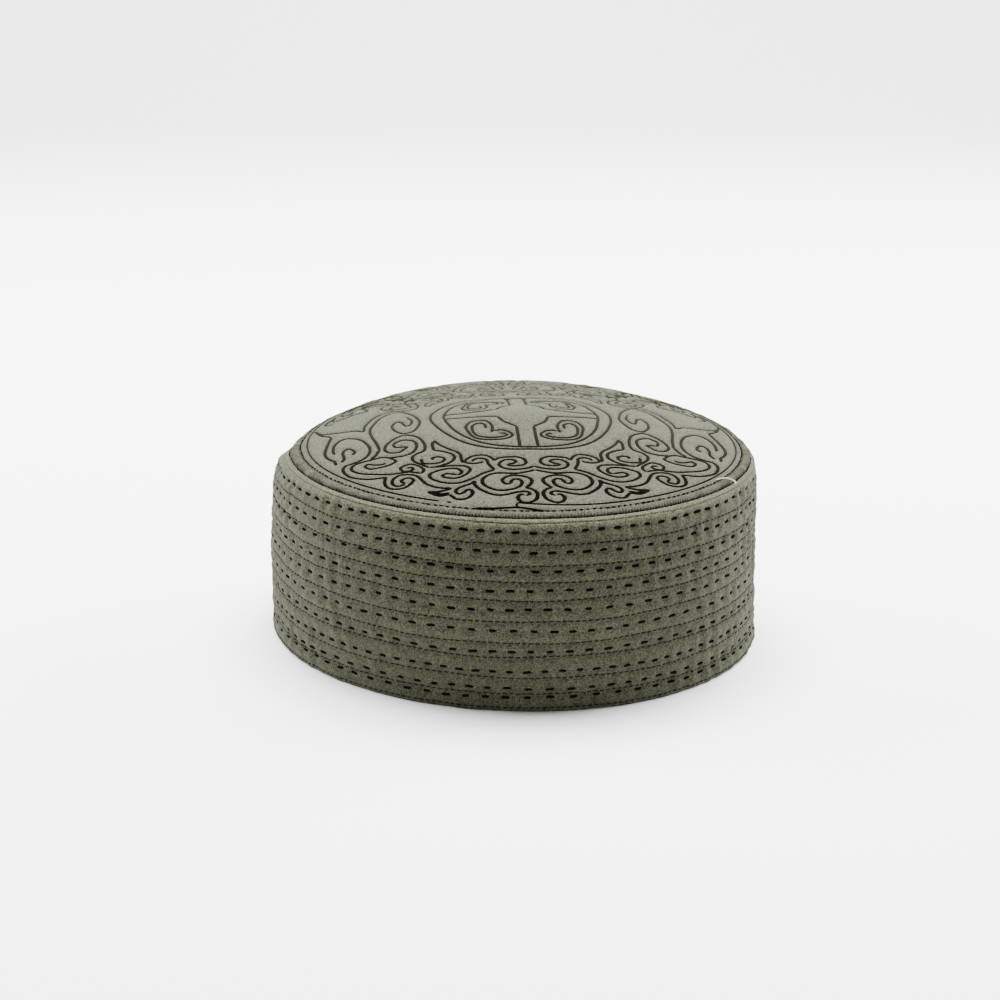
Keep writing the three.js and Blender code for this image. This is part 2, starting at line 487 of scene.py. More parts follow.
def ramp(nodes, links, value, low, dark, high, light):
    """Colour from dark at low to light at high."""
    made = nodes.new("ShaderNodeValToRGB")
    made.color_ramp.elements[0].position = low
    made.color_ramp.elements[0].color = (*dark, 1)
    made.color_ramp.elements[1].position = high
    made.color_ramp.elements[1].color = (*light, 1)
    links.new(value, made.inputs["Fac"])
    return made.outputs["Color"]


def shade_of_mesh(nodes):
    """The painted light and shade, or the fade of thread, that a mesh carries at each vertex."""
    made = nodes.new("ShaderNodeAttribute")
    made.attribute_name = "shade"
    return made.outputs["Fac"]


def raise_grain(nodes, links, shader, height, strength, distance):
    """Fine bumps from a socket's value."""
    bump = nodes.new("ShaderNodeBump")
    bump.inputs["Strength"].default_value = strength
    bump.inputs["Distance"].default_value = distance
    links.new(height, bump.inputs["Height"])
    links.new(bump.outputs["Normal"], shader.inputs["Normal"])


def mixed(nodes, links, kind, part, first, second):
    """Mix of two colour sockets; part is a number or a socket."""
    made = nodes.new("ShaderNodeMix")
    made.data_type = "RGBA"
    made.blend_type = kind
    if isinstance(part, float):
        made.inputs["Factor"].default_value = part
    else:
        links.new(part, made.inputs["Factor"])
    links.new(first, made.inputs["A"])
    links.new(second, made.inputs["B"])
    return made.outputs["Result"]


def brushed_cloth(name, dark, middle, light):
    """Melange felt-like cloth: light and dark fibres, soft blotches, painted shade and highlight, fine
    raised grain.
    """
    material, nodes, links, shader = new_material(name)
    place = nodes.new("ShaderNodeTexCoord")
    fibre = noise(nodes, links, place, FIBRE_SCALE, 2, 0.7)
    fleck = noise(nodes, links, place, FLECK_SCALE, 2, 0.6)
    blotch = noise(nodes, links, place, BLOTCH_SCALE, 3, 0.55)
    base = ramp(nodes, links, fibre, 0.38, dark, 0.64, light)
    flecks = ramp(nodes, links, fleck, 0.36, middle, 0.64, light)
    base = mixed(nodes, links, "MIX", 0.3, base, flecks)
    soft = ramp(nodes, links, blotch, 0.3, (0.97, 0.97, 0.97), 0.72, (1.03, 1.03, 1.03))
    base = mixed(nodes, links, "MULTIPLY", 1.0, base, soft)
    # Painted light and shade: the mesh's shade darkens the cloth in channels, grooves and tucks and
    # lightens it over the fold and towards the hem
    painted_level = nodes.new("ShaderNodeMath")
    painted_level.operation = "MULTIPLY_ADD"
    painted_level.inputs[1].default_value = PAINTED_LIGHT_CONTRAST
    painted_level.inputs[2].default_value = PAINTED_SHADE_DARKEST
    links.new(shade_of_mesh(nodes), painted_level.inputs[0])
    base = mixed(nodes, links, "MULTIPLY", 1.0, base, painted_level.outputs["Value"])
    links.new(base, shader.inputs["Base Color"])
    shader.inputs["Roughness"].default_value = 0.95
    shader.inputs["Specular IOR Level"].default_value = 0.1
    shader.inputs["Sheen Weight"].default_value = 0.04
    shader.inputs["Sheen Roughness"].default_value = 0.5
    shader.inputs["Sheen Tint"].default_value = (0.85, 0.87, 0.78, 1)
    grain = nodes.new("ShaderNodeMath")
    grain.operation = "ADD"
    links.new(fibre, grain.inputs[0])
    links.new(fleck, grain.inputs[1])
    raise_grain(nodes, links, shader, grain.outputs["Value"], 0.7, 0.0004)
    return material


def thread_material(name, dark, light):
    """Twisted thread; the mesh's shade says how faded it is."""
    material, nodes, links, shader = new_material(name)
    place = nodes.new("ShaderNodeTexCoord")
    strand = noise(nodes, links, place, STRAND_SCALE, 2, 0.6)
    base = ramp(nodes, links, strand, 0.3, dark, 0.75, light)
    faded = ramp(nodes, links, strand, 0.3, FADED_DARK, 0.75, FADED_LIGHT)
    base = mixed(nodes, links, "MIX", shade_of_mesh(nodes), base, faded)
    links.new(base, shader.inputs["Base Color"])
    shader.inputs["Roughness"].default_value = 0.9
    shader.inputs["Specular IOR Level"].default_value = 0.0
    raise_grain(nodes, links, shader, strand, 0.5, 0.0002)
    return material


band_cloth = brushed_cloth(
    "band cloth",
    dark=(0.0016, 0.002, 0.0008),
    middle=(0.0205, 0.0219, 0.0126),
    light=(0.0565, 0.0598, 0.0372),
)
top_cloth = brushed_cloth(
    "top cloth",
    dark=(0.0012, 0.0015, 0.0006),
    middle=(0.0212, 0.0226, 0.014),
    light=(0.062, 0.0648, 0.044),
)
inner_cloth = brushed_cloth(
    "inner cloth",
    dark=(0.004, 0.0046, 0.0024),
    middle=(0.026, 0.0275, 0.017),
    light=(0.064, 0.067, 0.045),
)
cord_cloth = brushed_cloth(
    "cord thread",
    dark=(0.0018, 0.0021, 0.001),
    middle=(0.0175, 0.0186, 0.0112),
    light=(0.0465, 0.0488, 0.0318),
)
dark_thread = thread_material("black thread", (0.0006, 0.0006, 0.0005), (0.0035, 0.0033, 0.0026))
olive_thread = thread_material("olive thread", (0.0025, 0.0027, 0.0015), (0.0095, 0.0099, 0.006))
light_thread = thread_material("light thread", (0.2, 0.2, 0.16), (0.42, 0.42, 0.36))


# Side band: quilted outer face, rounded folded edge, seam ledge, plain inner face
def fold_groove(bearing, turn):
    """Depth of the sewn line and of the creases over the folded edge, in welt depths."""
    gap = (turn - WELT_TURN) / WELT_HALF_TURN + WELT_WANDER * wave(bearing, 8, 2, 12)
    groove = np.exp(-(gap**2))
    for crease in CREASES:
        over = turn - crease["turn"]
        away = bearing - math.radians(crease["bearing"]) % (2 * math.pi)
        across = (away * RIM_RADIUS + crease["slant"] * over) / CREASE_HALF_WIDTH
        part = np.exp(-(across**2) - (over / CREASE_HALF_TURN) ** 2)
        groove = groove + crease["depth"] / WELT_DEPTH * part
    return groove


def side_band():
    bearing = 2 * np.pi * np.arange(BAND_COLUMNS) / BAND_COLUMNS
    rows, kinds, shades = [], [], []

    def add(points, kind, shade):
        rows.append(points)
        kinds.append(kind)
        shades.append(np.broadcast_to(np.asarray(shade, float), (BAND_COLUMNS,)))

    for corner in (0.0, 30.0, 60.0):
        turn = math.radians(corner)
        inset = HEM_ROUNDING * (1 - math.sin(turn))
        height = HEM_ROUNDING * (1 - math.cos(turn))
        # Painted shade: the hem's rounding is painted darker
        add(wall_point(bearing, height, -inset), OUTER, 0.55)
    for height in np.linspace(HEM_ROUNDING, SHOULDER_START, BAND_ROWS):
        # Painted light: the wall is painted lighter towards the hem
        painted_light = HEM_PAINTED_LIGHT * max(0.0, 1 - height / HEM_PAINTED_LIGHT_HEIGHT)
        # Painted shade: the wall is painted darker in its sewn channels and puckers and lighter on its
        # swells
        shade = np.clip(WALL_SHADE + RELIEF_SHADE * wall_relief(bearing, height), 0, 1)
        add(wall_point(bearing, height), OUTER, shade + painted_light)
    for turn in np.linspace(0, math.pi / 2, SHOULDER_ROWS)[1:]:
        height = SHOULDER_START + (SHOULDER_HEIGHT - SHOULDER_START) * math.sin(turn)
        radius = SHOULDER_CENTRE_RADIUS + SHOULDER_HALF_WIDTH * math.cos(turn)
        groove = fold_groove(bearing, turn)
        out = wall_relief(bearing, height) * math.cos(turn)
        out = out + FOLD_SWELL * wave(bearing, 7, 6, 30) * math.sin(2 * turn)
        out = out - WELT_DEPTH * groove
        place = around(radius + out * math.cos(turn), bearing, height + out * math.sin(turn))
        # Painted highlight over the upward-facing fold, most in front, and painted shade in the welt
        # line and creases
        painted_light = FOLD_PAINTED_HIGHLIGHT * math.sin(turn) * (1 + FOLD_PAINTED_HIGHLIGHT_IN_FRONT * np.cos(bearing))
        add(place, OUTER, np.clip(FOLD_SHADE - GROOVE_SHADE * groove, 0, 1) + painted_light)
    tuck = SHOULDER_CENTRE_RADIUS - 0.25
    # Painted shade: the tuck between the fold and the ledge is painted dark
    add(around(tuck, bearing, SHOULDER_HEIGHT - 0.3), OUTER, 0.5)
    add(around(tuck - 0.2, bearing, LEDGE_HEIGHT), OUTER, 0.2)
    # Painted shade: the ledge and the inner face are painted darker, the inner face most in its
    # channels
    add(around(LEDGE_RADIUS, bearing, LEDGE_HEIGHT), INNER, 0.6)
    underside = LEDGE_HEIGHT - LEDGE_THICKNESS
    add(around(LEDGE_RADIUS, bearing, underside), INNER, 0.6)
    inner_top = underside - 2
    inner_radius = column(BAND_SECTIONS, "radius", inner_top) - BAND_THICKNESS
    add(around(inner_radius - 2, bearing, underside), INNER, 0.7)
    for height in np.linspace(inner_top, 0, INNER_ROWS):
        relief = INNER_RELIEF_SHARE * wall_relief(bearing, height)
        radius = column(BAND_SECTIONS, "radius", height) - BAND_THICKNESS + relief
        add(around(radius, bearing, height), INNER, np.clip(0.9 + relief, 0, 1))
    return cloth_object("side_band_cloth", rows, [band_cloth, inner_cloth], kinds, shades)


# Stitches on the side band
def stitch_path(bearing, height, length, radius, tilt, lift, steps):
    """One stitch lying on the wall, with both ends dipping into the cloth."""
    part = np.linspace(-0.5, 0.5, steps)
    bearings = bearing + part * length / radius
    heights = height + part * length * tilt
    towards_end = (2 * np.abs(part)) ** 3
    out = lift * (1 - towards_end) - STITCH_END_DIP * towards_end
    points = lean(wall_point(bearings, heights, out))
    ups = around(1.0, bearings, np.zeros_like(bearings))
    return points, ups


def dash_stitches():
    paths = []
    for index, row in enumerate(DASH_ROWS):
        count = dash_count(row)
        radius = column(BAND_SECTIONS, "radius", row["height"])
        for number in range(count):
            bearing = 2 * math.pi * number / count
            bearing -= dash_phase(bearing, index) / count
            height = dash_height(bearing, index)
            length = DASH_LENGTH * scatter.uniform(*DASH_LENGTH_SPREAD)
            height += scatter.uniform(-DASH_HEIGHT_SCATTER, DASH_HEIGHT_SCATTER)
            tilt = scatter.uniform(-DASH_TILT_SCATTER, DASH_TILT_SCATTER)
            paths.append(stitch_path(bearing, height, length, radius, tilt, DASH_LIFT, 7))
    vertices, faces = tube_mesh(paths, DASH_HALF_WIDTH, DASH_HALF_HEIGHT, 6)
    return make_object("running_stitches", vertices, faces, [dark_thread])


def sewn_lines():
    paths = []
    for index, line in enumerate(SEWN_LINES):
        radius = column(BAND_SECTIONS, "radius", line)
        count = round(2 * math.pi * radius / SEWN_STITCH)
        for number in range(count):
            bearing = 2 * math.pi * number / count
            height = line_height(bearing, line, LINE_SEED + index)
            tilt = SEWN_TILT + scatter.uniform(-SEWN_TILT_SCATTER, SEWN_TILT_SCATTER)
            length = SEWN_STITCH * scatter.uniform(*SEWN_LENGTH_SPREAD)
            paths.append(stitch_path(bearing, height, length, radius, tilt, SEWN_LIFT, 4))
    vertices, faces = tube_mesh(paths, SEWN_HALF_WIDTH, SEWN_HALF_HEIGHT, 5)
    return make_object("sewn_lines", vertices, faces, [olive_thread])


# Corded roll round the panel, overcast with close turns of thread
def rim_piping():
    steps = CORD_WRAPS * STEPS_PER_WRAP
    bearing = 2 * np.pi * np.arange(steps) / steps
    size = 1 + CORD_SWELL * wave(bearing, 21, 9, 60)
    ridge_size = WRAP_RIDGE * (1 + 0.7 * wave(bearing, 22, 20, 90))
    uneven = 2 * wave(bearing, 23, 10, 50)
    rows, shades = [], []
    for side in range(CORD_SIDES):
        angle = 2 * math.pi * side / CORD_SIDES
        ridge = np.cos(CORD_WRAPS * bearing + WRAP_SLANT * math.cos(angle) + uneven)
        scale = size * (1 + ridge_size * ridge)
        radius = CORD_RADIUS + CORD_HALF_WIDTH * scale * math.cos(angle)
        height = CORD_HEIGHT + CORD_HALF_HEIGHT * scale * math.sin(angle)
        rows.append(around(radius, bearing, height))
        # Painted light and shade: wrap ridges and the roll's upper side are painted lighter, hollows
        # and underside darker
        shades.append(np.clip(0.85 + 0.45 * ridge + 0.4 * math.sin(angle), 0, 1.6))
    kinds = [OUTER] * CORD_SIDES
    return cloth_object("rim_piping_cord", rows, [cord_cloth], kinds, shades)


# Embroidery chart of the panel's right front quarter, in mm from the middle of the panel.
# Each stroke has a mirror image on the left, and both come again at the back.
CHART = {
    "big_spiral_inner": [
        (9.6, -62), (9.2, -60.2), (8.6, -58.9), (7.2, -58.2), (5.9, -59.2), (5.5, -61.2),
        (6.3, -63.8), (8.6, -65.9), (11.8, -67), (14.8, -66.5), (17.5, -64), (19, -61),
        (19.1, -58.3), (18.2, -55.8), (16.2, -53.8), (13.6, -52.9), (10.5, -53.2),
        (6.8, -53.8), (3.2, -52.7), (0, -51.1),
    ],
    "big_spiral_outer": [
        (9.6, -62), (11.4, -61.7), (12.2, -59.2), (11.4, -57.1), (9.3, -55.6), (6.6, -55.5),
        (4, -56.6), (2.1, -58.6), (2.2, -61.5), (3.6, -64.2), (4.7, -65.5),
    ],
    "front_hook": [
        (4.7, -65.5), (2.7, -66.5), (1.2, -68.9), (1.1, -71.8), (2, -74.8), (4.1, -76.8),
        (5.8, -77.1), (7.2, -76), (8, -73.7), (7.5, -71.4), (6.5, -70.5), (5.7, -71.2),
    ],
    "lower_sweep": [
        (5, -71.6), (3.8, -70.6), (3.9, -69), (5.5, -68.3), (8.3, -68.9), (11.3, -70.2),
        (14.2, -70.7), (17, -69.4), (19.5, -66.5), (21.2, -63.7), (22, -60.8), (21.7, -58),
    ],
    "curl_above_leaf": [
        (21.7, -58), (22.9, -60.1), (24.9, -61.4), (27.4, -63), (28.8, -65.1), (28.5, -67.3),
        (27.3, -68), (25.9, -66.7), (24.9, -65.1), (23.6, -65.3), (23.1, -67.8), (24.3, -70.7),
        (26.6, -72.4), (28.9, -72), (30.2, -69.8), (31.2, -67.9),
    ],
    "leaf_lower_edge": [(31.2, -67.9), (34.4, -68.6), (36.8, -66.6), (38.5, -64.4)],
    "leaf_upper_edge": [(38.5, -64.4), (35, -65), (32.2, -64.3), (30, -63)],
    "leaf_filling": [(31, -66.6), (33.4, -67.2), (35.6, -66.4), (37.4, -65)],
    "stem_to_curl": [
        (30, -63), (33.1, -62.4), (36, -60.7), (38.3, -58.2), (39.6, -55.2), (40.7, -52),
        (42.3, -49.2), (45.3, -47.9), (48, -48.3), (49.7, -50.3), (50.4, -53), (50, -56),
        (48.7, -57.4), (47, -57), (46, -55.5),
    ],
    "curl_outer": [
        (52.5, -48.5), (53, -52), (52.9, -55), (52, -57.8), (50.2, -59.5), (48, -59.9),
        (45.8, -58.8), (43.8, -56), (42.9, -53.5), (43.5, -51.8), (45, -51.1), (46.6, -51.9),
        (47.2, -53.7), (46, -55.5),
    ],
    "scroll_to_arch": [
        (52, -48.5), (54.5, -48.5), (58, -48.5), (61.5, -47), (65, -44), (67, -39.5),
        (67.5, -35.5), (66.5, -32.5), (64, -31), (60.5, -28.5), (58, -23.5), (57.5, -17),
        (59, -9.5), (61.5, -4), (65.5, -1), (68.5, -2.5), (70.5, -7.5), (71, -13.5), (70.5, -18),
    ],
    "scroll_inner": [
        (40, -48), (44, -45.8), (47.5, -46), (51.5, -46), (56, -44.5), (60.5, -42.5),
        (63.5, -39.5), (64.5, -36), (63.5, -33), (60.5, -31), (57, -30), (54, -29),
        (51, -30), (49.5, -32), (48.5, -34.5), (50.5, -37), (53.5, -38.5), (57.5, -39),
        (59.5, -36), (58.5, -34), (56, -35.5), (53.5, -36), (52, -35),
    ],
    "side_spiral": [
        (49, -16.5), (48, -20.5), (46, -21), (44, -21.5), (45, -23.5), (47, -26), (50, -25.5),
        (52, -22), (51.5, -17), (49, -11.5), (45, -8), (41.5, -10), (39, -14), (37.5, -21.5),
        (38, -27.5), (41, -30), (42.5, -33), (42, -36.5), (40, -39.5), (37, -43.5),
    ],
    "side_spiral_inner": [
        (49, -16.5), (46.5, -14), (44, -14), (41, -17), (40.5, -22.5), (42, -27.5),
        (45, -30), (48.5, -30.5), (51, -30),
    ],
    "teardrop": [
        (71.5, 4.5), (72.5, -1.5), (73.5, -9), (74, -16.5), (73, -21.5), (71.5, -24.5),
        (70.5, -26), (70, -30),
    ],
    "teardrop_hook": [
        (68, -28), (67, -24.5), (67.5, -19), (67, -16), (65.5, -14), (64, -15.5), (63, -19),
        (64, -21.5),
    ],
    "knot": [
        (39.8, -48), (38.9, -45.7), (39.3, -43.5), (40.5, -41.5), (43, -39), (45.5, -39.6),
        (47, -41.3), (46.8, -43.3), (46, -44.9), (44, -45), (42.6, -43.6), (43.1, -42.1),
        (45, -41.9),
    ],
    "small_spiral_outer": [
        (0, -47.8), (2, -49.4), (5.4, -50.4), (8.4, -50.3), (10.9, -48.9), (12.2, -46.4),
        (12, -44.6), (10.8, -42.8), (8.8, -42), (6.8, -42.6), (6.1, -44), (7.5, -45.5),
        (9.3, -45.8),
    ],
    "small_spiral_inner": [
        (13.5, -42), (12, -40.3), (8.8, -39.8), (5.6, -40), (3.3, -41.7), (2.6, -44),
        (3, -46), (4.7, -47.3), (7.4, -47.5), (9.1, -46.7), (9.3, -45.8),
    ],
    "small_hook_outer": [
        (13.6, -42.2), (14.4, -39.8), (16, -37.4), (18.4, -36.6), (21, -37.1), (23.1, -38.9),
        (24, -41), (23.2, -42.7), (20.9, -43.6), (18.4, -43.2), (17.8, -42.2),
    ],
    "small_hook_inner": [
        (14.2, -50), (15.1, -47.3), (16, -44.4), (16.2, -41.6), (17, -40.1), (19, -39.4),
        (20.9, -40.3), (21.2, -41.5),
    ],
    "middle_spiral_outer": [
        (14.2, -50), (16.7, -51.3), (19, -52.8), (21, -54.9), (24, -57.3), (26.8, -58.8),
        (29.5, -59), (32.2, -58), (34.7, -56), (36.6, -53.5), (37.2, -51.4), (36.7, -49.2),
        (35, -47.8), (32.2, -46.5), (29.2, -46.2), (27, -47), (26, -48.5), (25.7, -50),
        (26.5, -51.7), (27.5, -52),
    ],
    "middle_spiral_inner": [
        (27.5, -52), (29.6, -51), (31, -50.5), (32.4, -51.2), (32.5, -52.7), (31.2, -54),
        (29, -54.8), (26.8, -54.4), (24.6, -52.5), (23, -50), (22.7, -47.5), (24.2, -45.3),
        (27, -44.3), (30, -43.8), (33, -43.9), (36.9, -43.7),
    ],
    "flame_outer": [
        (24.9, -41.9), (25.2, -38.5), (25.2, -35.2), (26.3, -32), (28.7, -29), (31.2, -25.3),
        (33, -21.5), (33.7, -18.8),
    ],
    "flame_inner": [(33.7, -18.8), (34.6, -21.3), (34.7, -24.8), (34.4, -28.3)],
    "flame_coil": [
        (34.4, -28.3), (31, -30.5), (28.4, -33.2), (27.5, -36), (28, -38.8), (30, -41.5),
        (33, -43), (35, -43.7),
    ],
    "flame_eye": [
        (39.3, -35), (38.9, -38.9), (36, -40.5), (32.5, -40), (31.2, -38), (31.5, -36),
        (33.5, -34.8), (35.5, -35.5), (35, -36.8),
    ],
}

# Strokes of the two side coils, which cross the panel's side line and have no back copy
SIDE_CHART = {
    "coil_and_arch": [
        (42.5, 17.5), (41, 11.5), (41.5, 6), (43, 3.5), (44, 6.5), (45, 11), (47, 12),
        (48.5, 7.5), (48, 1), (46, -4), (44, -6), (41, -4.5), (39, 1), (38, 7.5), (39, 15),
        (41, 22), (44.5, 27.5), (49, 27), (52.5, 23), (55, 15.5), (57, 6), (56.5, -3),
        (55, -12), (54, -20.5),
    ],
    "coil_tail": [(54, -20.5), (55.5, -26), (57.5, -29)],
    "bridge": [
        (78, 17.5), (75.5, 11), (72.5, 9.5), (66.5, 8.5), (62, 8), (59.5, 5.5), (59, 12),
        (57.5, 18), (55.5, 24), (52, 29), (47, 31),
    ],
    "tail": [(78, 17.5), (76, 10), (74, 7), (71.5, 4.5)],
}

# Right front quarter of the medallion: two rings, a keyhole shape and a cloud knot
MEDALLION_CHART = {
    "outer_ring": [
        (-1.5, -33.4), (3, -33.5), (7.7, -33), (14.7, -30.7), (20.7, -26.5), (25.7, -20.3),
        (30, -11.3), (32.8, -1.5), (34, 5.5), (34.3, 12),
    ],
    "inner_ring": [
        (-1.5, -31.5), (4, -31.3), (11.3, -29.2), (17.3, -25.2), (22.5, -18.6), (26.2, -10.3),
        (28.2, -1), (29, 5), (29.3, 10),
    ],
    "eye": [(9.5, -1.5), (7.8, -7), (5.5, -10.3), (3.2, -12.8)],
    "bar": [(3.2, -12.8), (3.2, -21), (3.3, -31)],
    "arm": [(9.5, -1.5), (17.3, 1.4), (23, 3.2), (28.8, 4.9)],
    "cloud_outer": [
        (12.6, -16.8), (12.3, -14.6), (12.2, -10.2), (14, -5.2), (17, -3.5), (20, -4.4),
        (21.7, -9.2), (20.9, -15), (19.6, -19.4), (17, -22.4), (13.7, -23.6), (9.5, -24),
        (6.4, -22.7), (5.2, -20.4), (6.5, -17.4), (9, -15.5), (11.8, -15.6),
    ],
    "cloud_inner": [
        (14.6, -12.6), (14.7, -8.8), (16.8, -6.9), (19.1, -8.3), (19.5, -12.6), (18.6, -17.6),
        (16, -20.6), (12.3, -21.9), (8.8, -21.6), (7.3, -20.3), (8, -18.8), (9.8, -18.4),
    ],
}

# How the thread lies from the front of the panel to its back: share of its full width, depth
# below the cloth's face, and how faded it is
THREAD_LIE = [
    {"y": -72.0, "share": 1.15, "sink": 0.12, "faded": 0.0},
    {"y": -45.0, "share": 1.0, "sink": 0.18, "faded": 0.1},
    {"y": 0.0, "share": 0.9, "sink": 0.25, "faded": 0.6},
    {"y": 30.0, "share": 0.55, "sink": 0.45, "faded": 1.0},
    {"y": 60.0, "share": 0.46, "sink": 0.6, "faded": 1.0},
]


def smooth_path(points):
    """Points spaced evenly on a smooth curve through the charted ones."""
    points = np.asarray(points, float)
    before_first = 2 * points[:1] - points[1:2]
    after_last = 2 * points[-1:] - points[-2:-1]
    points = np.concatenate([before_first, points, after_last])
    dense = []
    part = np.linspace(0, 1, 12, endpoint=False)[:, None]
    for index in range(1, len(points) - 2):
        before, start, end, after = points[index - 1 : index + 3]
        bend = 2 * before - 5 * start + 4 * end - after
        twist = 3 * start - before - 3 * end + after
        dense.append(start + 0.5 * part * (end - before + part * (bend + part * twist)))
    dense = np.concatenate([*dense, points[-2:-1]])
    along = np.concatenate([[0], np.cumsum(np.linalg.norm(np.diff(dense, axis=0), axis=1))])
    count = max(4, round(along[-1] / THREAD_STEP) + 1)
    spots = np.linspace(0, along[-1], count)
    return np.stack([np.interp(spots, along, dense[:, axis]) for axis in range(2)], axis=-1)


def turned(flat, turn=PATTERN_TURN, shift=PATTERN_SHIFT_X):
    """From the pattern's own square to the panel, which it sits on a little askew."""
    x = flat[:, 0] + shift
    y = flat[:, 1]
    cos, sin = math.cos(turn), math.sin(turn)
    return np.stack([x * cos - y * sin, x * sin + y * cos], axis=-1)


def back_image(flat):
    """The back's copy of a stroke, folded over the panel's side line and fitted in the ring."""
    reach = np.sqrt(np.maximum(PATTERN_RADIUS**2 - flat[:, 0] ** 2, 1))
    fold = MIRROR_Y + MIRROR_BEND * (flat[:, 0] / 60) ** 2
    fold = np.minimum(fold, 0.55 * reach)
    part = (fold - flat[:, 1]) / (fold + reach)
    return np.stack([flat[:, 0], fold + part * (reach - fold)], axis=-1)


def mirrored(flat):
    """A stroke and its three mirror images."""
    copies = [flat, back_image(flat)]
    return [copy * [side, 1] for copy in copies for side in (1, -1)]


def scroll_strokes():
    strokes = []
    for points in CHART.values():
        for image in mirrored(smooth_path(points)):
            strokes.append(turned(image))
    for points in SIDE_CHART.values():
        for side in (1, -1):
            strokes.append(turned(smooth_path(points) * [side, 1]))
    return strokes


def medallion_strokes():
    strokes = []
    for points in MEDALLION_CHART.values():
        for image in mirrored(smooth_path(points)):
            strokes.append(turned(image, MEDALLION_TURN, MEDALLION_SHIFT_X))
    return strokes


def ring_arc(start, end, drift):
    """Part of the black ring between two bearings; drift draws its start inwards."""
    bearing = np.linspace(start, end, max(6, round(abs(end - start) * 2.4)))
    near_start = np.clip(1 - (bearing - start) / RING_DRIFT_DEGREES, 0, 1)
    reach = RING_RADIUS - drift * near_start**1.5
    bearing = np.radians(bearing)
    return np.stack([reach * np.sin(bearing), -reach * np.cos(bearing)], axis=-1)


def edge_ring_strokes():
    """The ring is open at the front left, with one loose stitch in the opening."""
    return [ring_arc(-1.0, 339.5, RING_END_DRIFT), ring_arc(-18.4, -17.2, 0.0)]


# Where the ring is open, a heavier line of stitches runs a little further out
RING_REPAIR = [(-15.6, -80.4), (-10, -81), (-5, -81), (-1.3, -80.8), (3, -81.3), (8, -81.8)]
RING_STEP = [(-1.3, -80.8), (-1.5, -79), (-1.35, -77.4)]


def ring_repair_strokes():
    return [smooth_path(RING_REPAIR), smooth_path(RING_STEP)]


def panel_slack(radius, bearing):
    """The panel is not drawn quite tight: slow swells between the middle and the seam."""
    swell = np.sin(np.pi * np.minimum(radius / LEDGE_RADIUS, 1))
    return PANEL_SLACK * wave(bearing, 31, 2, 6) * swell


def on_panel(flat, lift):
    """Flat points laid on the panel's outer face and lifted by so many mm."""
    radius = np.hypot(flat[:, 0], flat[:, 1])
    bearing = np.arctan2(flat[:, 0], -flat[:, 1])
    height = panel_height(radius) + panel_slack(radius, bearing) + lift
    return lean(np.concatenate([flat, height[:, None]], axis=1))


def embroidery(name, strokes, half_width=THREAD_HALF_WIDTH):
    """Thread along strokes, each a list of flat points on the panel."""
    paths, widths, shades = [], [], []
    for flat in strokes:
        points = on_panel(flat, -column(THREAD_LIE, "sink", flat[:, 1], "y"))
        ups = np.tile([0.0, 0.0, 1.0], (len(points), 1))
        paths.append((points, ups))
        widths.append(column(THREAD_LIE, "share", flat[:, 1], "y"))
        shades.append(np.repeat(column(THREAD_LIE, "faded", flat[:, 1], "y"), THREAD_SIDES))
    vertices, faces = tube_mesh(
        paths,
        half_width,
        THREAD_HALF_HEIGHT,
        THREAD_SIDES,
        ripple=THREAD_TWIST_DEPTH,
        ripple_pitch=THREAD_TWIST_PITCH,
        widths=widths,
    )
    return make_object(name, vertices, faces, [dark_thread], None, np.concatenate(shades))


# Dashed seam lines on both sides of the corded roll, with count stitches in each
SEAMS = [
    {"name": "panel_seam", "radius": 82.45, "height": 71.3, "count": 225, "half_width": 0.29},
    {"name": "rim_seam", "radius": 86.05, "height": 70.15, "count": 262, "half_width": 0.26},
]
SEAM_HALF_HEIGHT = 0.24
SEAM_SCATTER = 0.15
SEAM_STITCH_SPREAD = (1.1, 2.3)


def seam_stitches(seam):
    paths = []
    for number in range(seam["count"]):
        place = number + scatter.uniform(-SEAM_SCATTER, SEAM_SCATTER)
        middle = 2 * math.pi * place / seam["count"]
        length = scatter.uniform(*SEAM_STITCH_SPREAD) / seam["radius"]
        bearing = middle + np.linspace(-0.5, 0.5, 4) * length
        radius = seam["radius"] + scatter.uniform(-SEAM_SCATTER, SEAM_SCATTER)
        points = lean(around(radius, bearing, seam["height"]))
        ups = np.tile([0.0, 0.0, 1.0], (len(points), 1))
        paths.append((points, ups))
    vertices, faces = tube_mesh(paths, seam["half_width"], SEAM_HALF_HEIGHT, 5)
    return make_object(seam["name"], vertices, faces, [dark_thread])


# Loose light thread where the roll's end is lapped over its start
def roll_end_thread():
    part = np.linspace(0, 1, 24)
    bearing = np.radians(END_THREAD_BEARING + END_THREAD_SWING * np.sin(2.2 * part))
    radius = END_THREAD_RADIUS + END_THREAD_REACH * part
    height = END_THREAD_HEIGHT - END_THREAD_DROP * part**3 + END_THREAD_RIPPLE * np.sin(7 * part)
    points = lean(around(radius, bearing, height))
    ups = np.tile([0.0, 0.0, 1.0], (len(points), 1))
    path = (points, ups)
    vertices, faces = tube_mesh([path], END_THREAD_HALF_WIDTH, END_THREAD_HALF_HEIGHT, 6)
    return make_object("roll_end_thread", vertices, faces, [light_thread])


# Top panel: the cloth sinks under every embroidered line and stands up between them
def tree_of(strokes):
    """Search tree over all points of the strokes."""
    points = np.concatenate(strokes)
    tree = KDTree(len(points))
    for index, (x, y) in enumerate(points):
        tree.insert((x, y, 0.0), index)
    tree.balance()
    return tree


